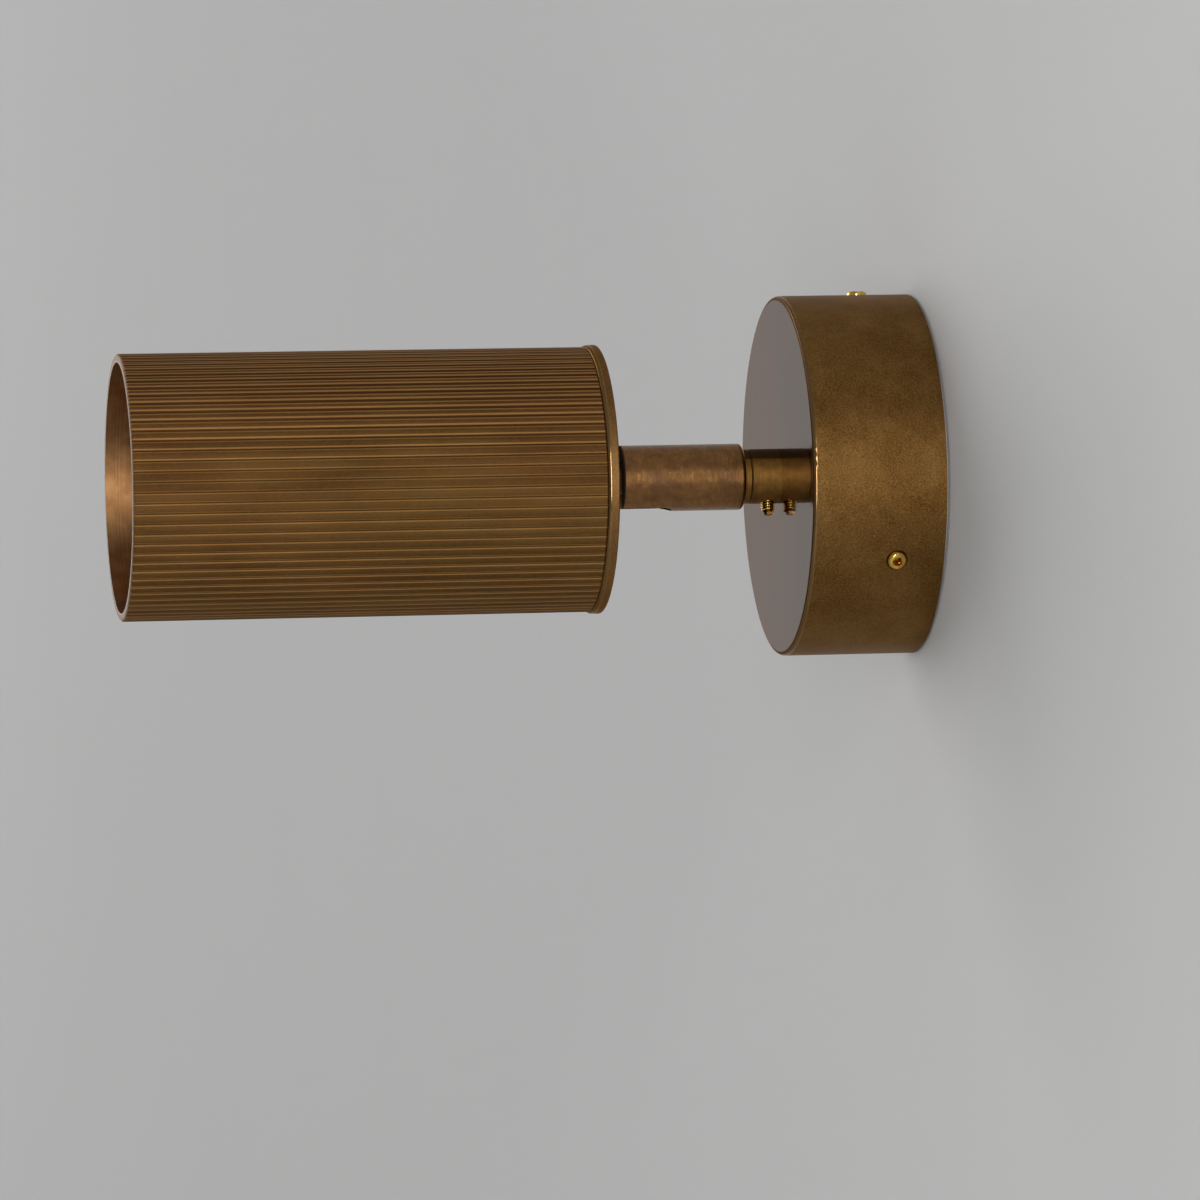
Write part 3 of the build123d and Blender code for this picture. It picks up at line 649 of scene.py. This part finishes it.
def turnedBrass(name, radius):
    brass = Finish(name)
    brass.onLamp()
    marks = brass.marks(brass.station, turnedLook["lead"], 3.0)
    blots = brass.noise(turnedLook["blots"], 3.0)
    colour = brass.ramp(marks * 0.6 + blots * 0.4, (0.33, turnedLook["dark"]), (0.67, turnedLook["gold"]))
    # darker along the top
    start = turnedLook["darkTopFrom"] * radius
    level = brass.height + (blots - 0.5) * turnedLook["darkTopWander"]
    top = brass.fade(level, start, start + turnedLook["darkTopRise"]) * turnedLook["darkTopShare"]
    brass.set(Base_Color=brass.mix(top, colour, turnedLook["darkTop"]), Metallic=1.0)
    brass.set(Roughness=turnedLook["roughness"] + (blots - 0.5) * turnedLook["blotRoughness"])
    brass.set(Normal=brass.bump(marks, turnedLook["markDepth"]))
    return brass


# Grub screw with its real thread: one pitch of profile, turned up the axis, trimmed and socketed
grub = {
    "angle": -80.0,  # degrees round the lamp's axis
    "station": 40.5,
    "tip": 4.55,  # millimetres from the lamp's axis to the dog point's end
    "end": 10.0,
    "pointRadius": 1.2,
    "pointLength": 0.7,
    "pointCorners": 32,
    "crest": 1.99,
    "root": 1.56,
    "pitch": 0.7,
    "flank": 0.27,  # millimetres along the axis from root to crest
    "flat": 0.09,
    "chamfer": 0.35,
    "key": 2.0,
    "keyDepth": 2.0,
    "corners": 64,
    "sharp": 60.0,  # degrees above which an edge of the blank is chamfered
    "steps": 40,
    "weld": 0.002,  # millimetres within which the turns of the thread join
    "crease": 25.0,  # degrees above which an edge stays sharp
}


# Bright brass of the screws, with painted shade in the sockets and between the threads
screwLook = {
    "dull": (0.62, 0.36, 0.065),
    "bright": (0.88, 0.58, 0.13),
    "hollow": (0.36, 0.14, 0.012),
    "crest": (0.98, 0.74, 0.20),
    # painted shade between the threads
    "threadShade": (0.14, 0.065, 0.008),
    "wear": 1.0,  # millimetres across
    "grain": 0.3,
    "grainDepth": 0.004,
    "headRoughness": 0.09,
    "threadRoughness": 0.17,
    "wearRoughness": 0.10,
    "count": 3,  # socket screws round the cup, the first at the top
    "socket": (1.20, 1.45),  # millimetres from a screw's axis to its socket's flat and corner
    "crown": 0.06,  # how fast a head falls away from its middle
}


def brightBrass(name, roughness):
    brass = Finish(name)
    brass.onLamp()
    brass.wear = brass.noise(screwLook["wear"], 3.0)
    brass.fine = brass.bump(brass.noise(screwLook["grain"], 2.0), screwLook["grainDepth"])
    brass.set(Metallic=1.0, Roughness=roughness + (brass.wear - 0.5) * screwLook["wearRoughness"])
    brass.set(Normal=brass.fine)
    return brass


def cupScrewBrass():
    brass = brightBrass("cupScrewBrass", screwLook["headRoughness"])
    row = reach("cup_screws")
    along = brass.station - (row["rear"] + row["front"]) / 2
    count = screwLook["count"]
    turn = brass.angle * (count / (2 * math.pi)) - count / 4 + (count + 0.5)
    offset = (turn.through("FRACT") - 0.5) * (2 * math.pi / count)
    sideways = brass.radius * offset.through("SINE")
    fromAxis = (along * along + sideways * sideways) ** 0.5
    # painted shade in the hex sockets
    hollow = 1.0 - brass.fade(fromAxis, *screwLook["socket"])
    colour = brass.ramp(brass.wear, (0.35, screwLook["dull"]), (0.62, screwLook["bright"]))
    brass.set(Base_Color=brass.mix(hollow * 0.9, colour, screwLook["hollow"]))
    brass.set(Normal=brass.bump(fromAxis * fromAxis * -screwLook["crown"], 1.0, brass.fine))
    return brass


def grubBrass():
    brass = brightBrass("grubBrass", screwLook["threadRoughness"])
    lean = math.radians(grub["angle"])
    along = brass.station - grub["station"]
    sideways = brass.side * math.sin(lean) - brass.height * math.cos(lean)
    fromAxis = (along * along + sideways * sideways) ** 0.5
    # painted shade between the threads, bright brass on the crests
    ridge = brass.fade(fromAxis, grub["root"], grub["crest"] - 0.1)
    brass.set(Base_Color=brass.mix(ridge, screwLook["threadShade"], screwLook["crest"]))
    return brass


# Plain machined brass of the hidden pieces
innerLook = {
    "dull": (0.50, 0.34, 0.12),
    "bright": (0.74, 0.53, 0.21),
    "wear": 2.5,  # millimetres across
    "grain": 0.4,
    "grainDepth": 0.006,
    "roughness": 0.28,
    "grainRoughness": 0.12,
}


def innerBrass():
    brass = Finish("innerBrass")
    brass.onLamp()
    wear = brass.noise(innerLook["wear"], 3.0)
    grain = brass.noise(innerLook["grain"], 2.0)
    brass.set(Base_Color=brass.ramp(wear, (0.35, innerLook["dull"]), (0.65, innerLook["bright"])))
    brass.set(Roughness=innerLook["roughness"] + (grain - 0.5) * innerLook["grainRoughness"])
    brass.set(Metallic=1.0, Normal=brass.bump(grain, innerLook["grainDepth"]))
    return brass


# Zinc plated steel of the wall plate and hidden fasteners
zincLook = {
    "dull": (0.42, 0.43, 0.43),
    "bright": (0.62, 0.63, 0.62),
    "warm": (0.60, 0.56, 0.46),
    "warmShare": 0.35,
    "spangle": 3.5,  # millimetres across
    "clouds": 9.0,
    "skin": 0.5,
    "skinDepth": 0.006,
    "roughness": 0.34,
    "spangleRoughness": 0.14,
}


def plateSteel():
    steel = Finish("plateSteel")
    steel.onLamp()
    spangle = steel.cells(zincLook["spangle"], "Color")
    tone = steel.node("ShaderNodeRGBToBW", {}, {"Color": spangle})
    clouds = steel.noise(zincLook["clouds"], 3.0)
    colour = steel.ramp(tone * 0.5 + clouds * 0.5, (0.25, zincLook["dull"]), (0.75, zincLook["bright"]))
    colour = steel.mix(steel.fade(clouds, 0.55, 0.7) * zincLook["warmShare"], colour, zincLook["warm"])
    steel.set(Base_Color=colour, Metallic=1.0)
    steel.set(Roughness=zincLook["roughness"] + tone * zincLook["spangleRoughness"])
    steel.set(Normal=steel.bump(steel.noise(zincLook["skin"]), zincLook["skinDepth"]))
    return steel


# Moulded pieces: a quiet colour, a little clouded, with a fine skin
mouldings = {
    "bushRubber": {"colour": (0.030, 0.030, 0.031), "roughness": 0.72, "grain": 0.35, "depth": 0.02},
    "seatPlastic": {"colour": (0.76, 0.74, 0.68), "roughness": 0.42, "grain": 0.5, "depth": 0.006},
    "blockPlastic": {"colour": (0.78, 0.77, 0.71), "roughness": 0.46, "grain": 0.4, "depth": 0.008},
    "holderCeramic": {"colour": (0.80, 0.78, 0.71), "roughness": 0.16, "grain": 1.6, "depth": 0.012},
    "lampShell": {"colour": (0.80, 0.80, 0.79), "roughness": 0.30, "grain": 0.5, "depth": 0.004},
}
# The clouding that the mouldings share
mouldClouds = {"size": 6.0, "deep": 0.90, "pale": 1.06, "grainRoughness": 0.12}


def moulded(name):
    look = mouldings[name]
    skin = Finish(name)
    skin.onLamp()
    clouds = skin.noise(mouldClouds["size"], 3.0)
    grain = skin.noise(look["grain"], 2.0)
    deep, pale = [[c * mouldClouds[end] for c in look["colour"]] for end in ("deep", "pale")]
    skin.colour = skin.mix(clouds, deep, pale)
    skin.rough = look["roughness"] + (grain - 0.5) * mouldClouds["grainRoughness"]
    skin.set(Base_Color=skin.colour, Roughness=skin.rough, Normal=skin.bump(grain, look["depth"]))
    return skin


# Lamp: a white shell whose bowl is silvered in small facets round a yellow chip
bowlLook = {
    "silver": (0.86, 0.86, 0.87),
    "facetEdge": 0.9,  # share of the silver's colour left at a facet's edge
    "facet": 2.2,
    "facetDepth": 0.25,
    "chip": (0.82, 0.62, 0.12),
    "chipRadius": 4.6,
    "flare": 35.0,  # length of the shell's cone
    "skin": 2.0,  # millimetres inside the cone where the bowl is sure to lie
    "floor": (8.0, 9.0),  # millimetres in front of the shell's rear between which the bowl starts
    "roughness": 0.14,
}


def lampShell():
    shell = moulded("lampShell")
    slope = (lampBody["radius"] - lampBase["radius"]) / bowlLook["flare"]
    flare = (shell.station - lampBody["rear"]) * slope + lampBase["radius"]
    bowl = 1.0 - shell.fade(shell.radius - flare, -bowlLook["skin"] - 0.5, -bowlLook["skin"])
    bowl = bowl * shell.fade(shell.station, *[lampBody["rear"] + ahead for ahead in bowlLook["floor"]])
    chip = bowl * (1.0 - shell.fade(shell.radius, bowlLook["chipRadius"] - 0.1, bowlLook["chipRadius"]))
    facets = shell.cells(bowlLook["facet"], "Distance")
    silver = shell.mix(facets, bowlLook["silver"], [c * bowlLook["facetEdge"] for c in bowlLook["silver"]])
    colour = shell.mix(chip, shell.mix(bowl, shell.colour, silver), bowlLook["chip"])
    shell.set(Base_Color=colour, Metallic=bowl * (1.0 - chip))
    shell.set(Roughness=shell.blend(bowl, shell.rough, bowlLook["roughness"]))
    shell.set(Normal=shell.bump(facets * bowl * (1.0 - chip), bowlLook["facetDepth"]))
    return shell


# Lamp lens: pressed glass with fine rings, a little smeared
lensLook = {
    "colour": (0.97, 0.98, 0.97),
    "ior": 1.5,
    "ringPitch": 1.6,
    "ringDepth": 0.05,
    "roughness": 0.04,
    "smear": 7.0,
    "smearRoughness": 0.05,
}


def lampGlass():
    glass = Finish("lampGlass")
    glass.onLamp()
    wave = glass.radius * (2 * math.pi / lensLook["ringPitch"])
    smear = glass.noise(lensLook["smear"], 3.0)
    glass.set(Base_Color=lensLook["colour"], IOR=lensLook["ior"], Transmission_Weight=1.0)
    glass.set(Roughness=lensLook["roughness"] + smear * lensLook["smearRoughness"])
    glass.set(Normal=glass.bump(wave.through("SINE"), lensLook["ringDepth"]))
    return glass


grubFinish = grubBrass()
dress(cupBrass(), "backplate_cup")
dress(reedBrass(), "head_tube")
dress(capBrass(), "rear_cap")
dress(stemBrass(), "knuckle_stem")
dress(neckBrass(), "ball_neck")
dress(turnedBrass("collarBrass", reach("collar")["radius"]), "collar")
dress(turnedBrass("spigotBrass", reach("pan_spigot")["radius"]), "pan_spigot")
dress(cupScrewBrass(), "cup_screws")
dress(grubFinish, "grub_screw")
dress(
    innerBrass(), "terminal_tubes", "earth_stud", "earth_tag", "earth_washer", "earth_nut", "collar_nut",
    "neck_nut", "holder_pillars", "holder_contacts", "lamp_pins",
)
dress(
    plateSteel(), "wall_plate", "terminal_screws", "block_screws", "collar_washer", "neck_washer",
    "holder_screws",
)
dress(moulded("bushRubber"), "cable_bush")
dress(moulded("seatPlastic"), "ball_seat")
dress(moulded("blockPlastic"), "terminal_block")
dress(moulded("holderCeramic"), "lampholder")
dress(lampShell(), "lamp_base", "lamp_body")
dress(lampGlass(), "lamp_lens")
print("finishes set")


def pick(piece):
    bpy.ops.object.select_all(action="DESELECT")
    bpy.context.view_layer.objects.active = piece
    piece.select_set(True)


def cutWith(piece, tool, operation):
    pick(piece)
    bpy.ops.object.modifier_add(type="BOOLEAN")
    cutter = piece.modifiers[-1]
    cutter.operation = operation
    cutter.object = tool
    bpy.ops.object.modifier_apply(modifier=cutter.name)
    bpy.data.objects.remove(tool, do_unlink=True)


def threadedRod(low, high):
    bpy.ops.object.select_all(action="DESELECT")
    bpy.ops.mesh.primitive_plane_add(size=mm, location=(grub["root"] * mm, 0, (low - grub["pitch"]) * mm))
    rod = startPiece("threadedGrub")
    bpy.ops.object.mode_set(mode="EDIT")
    bpy.ops.mesh.select_all(action="SELECT")
    bpy.ops.mesh.merge(type="CENTER")
    rise = grub["crest"] - grub["root"]
    threadShade = grub["pitch"] - 2 * grub["flank"] - grub["flat"]
    for out, up in ((rise, grub["flank"]), (0, grub["flat"]), (-rise, grub["flank"]), (0, threadShade)):
        bpy.ops.mesh.extrude_vertices_move(TRANSFORM_OT_translate={"value": (out * mm, 0, up * mm)})
    bpy.ops.object.mode_set(mode="OBJECT")
    bpy.ops.object.modifier_add(type="SCREW")
    winding = rod.modifiers[-1]
    winding.axis = "Z"
    winding.screw_offset = grub["pitch"] * mm
    winding.iterations = math.ceil((high - low) / grub["pitch"]) + 2
    winding.steps = winding.render_steps = grub["steps"]
    bpy.ops.object.modifier_apply(modifier=winding.name)
    bpy.ops.object.mode_set(mode="EDIT")
    bpy.ops.mesh.select_all(action="SELECT")
    bpy.ops.mesh.remove_doubles(threshold=grub["weld"] * mm)
    bpy.ops.mesh.bisect(plane_co=(0, 0, low * mm), plane_no=(0, 0, 1), use_fill=True, clear_inner=True)
    bpy.ops.mesh.select_all(action="SELECT")
    bpy.ops.mesh.bisect(plane_co=(0, 0, high * mm), plane_no=(0, 0, 1), use_fill=True, clear_outer=True)
    bpy.ops.mesh.select_all(action="SELECT")
    bpy.ops.mesh.normals_make_consistent(inside=False)
    bpy.ops.object.mode_set(mode="OBJECT")
    return rod


def cylinder(name, radius, low, high, corners):
    bpy.ops.object.select_all(action="DESELECT")
    bpy.ops.mesh.primitive_cylinder_add(
        vertices=corners, radius=radius * mm, depth=(high - low) * mm, location=(0, 0, (low + high) / 2 * mm)
    )
    return startPiece(name)


def grubScrew():
    shoulder = grub["tip"] + grub["pointLength"]
    rod = threadedRod(shoulder, grub["end"])
    blank = cylinder("grubBlank", grub["crest"] + 0.05, shoulder - 0.1, grub["end"], grub["corners"])
    bpy.ops.object.mode_set(mode="EDIT")
    bpy.ops.mesh.select_mode(type="EDGE")
    bpy.ops.mesh.select_all(action="SELECT")
    bpy.ops.mesh.edges_select_sharp(sharpness=math.radians(grub["sharp"]))
    bpy.ops.mesh.bevel(offset=grub["chamfer"] * mm, segments=1)
    bpy.ops.object.mode_set(mode="OBJECT")
    cutWith(rod, blank, "INTERSECT")
    point = cylinder("grubPoint", grub["pointRadius"], grub["tip"], shoulder + 0.3, grub["pointCorners"])
    cutWith(rod, point, "UNION")
    keyFloor = grub["end"] - grub["keyDepth"]
    socket = cylinder("grubKey", grub["key"] / math.sqrt(3), keyFloor, grub["end"] + 1, 6)
    cutWith(rod, socket, "DIFFERENCE")
    pick(rod)
    bpy.ops.object.shade_smooth_by_angle(angle=math.radians(grub["crease"]))
    rod.rotation_euler = (0, math.radians(90.0 - grub["angle"]), 0)
    rod.location = (0, -grub["station"] * mm, 0)
    bpy.ops.object.transform_apply(location=True, rotation=True, scale=True)
    rod.data.materials.clear()
    rod.data.materials.append(grubFinish.material)
    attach(rod, "base")
    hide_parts("grub_screw")


grubScrew()
print("grub screw threaded")
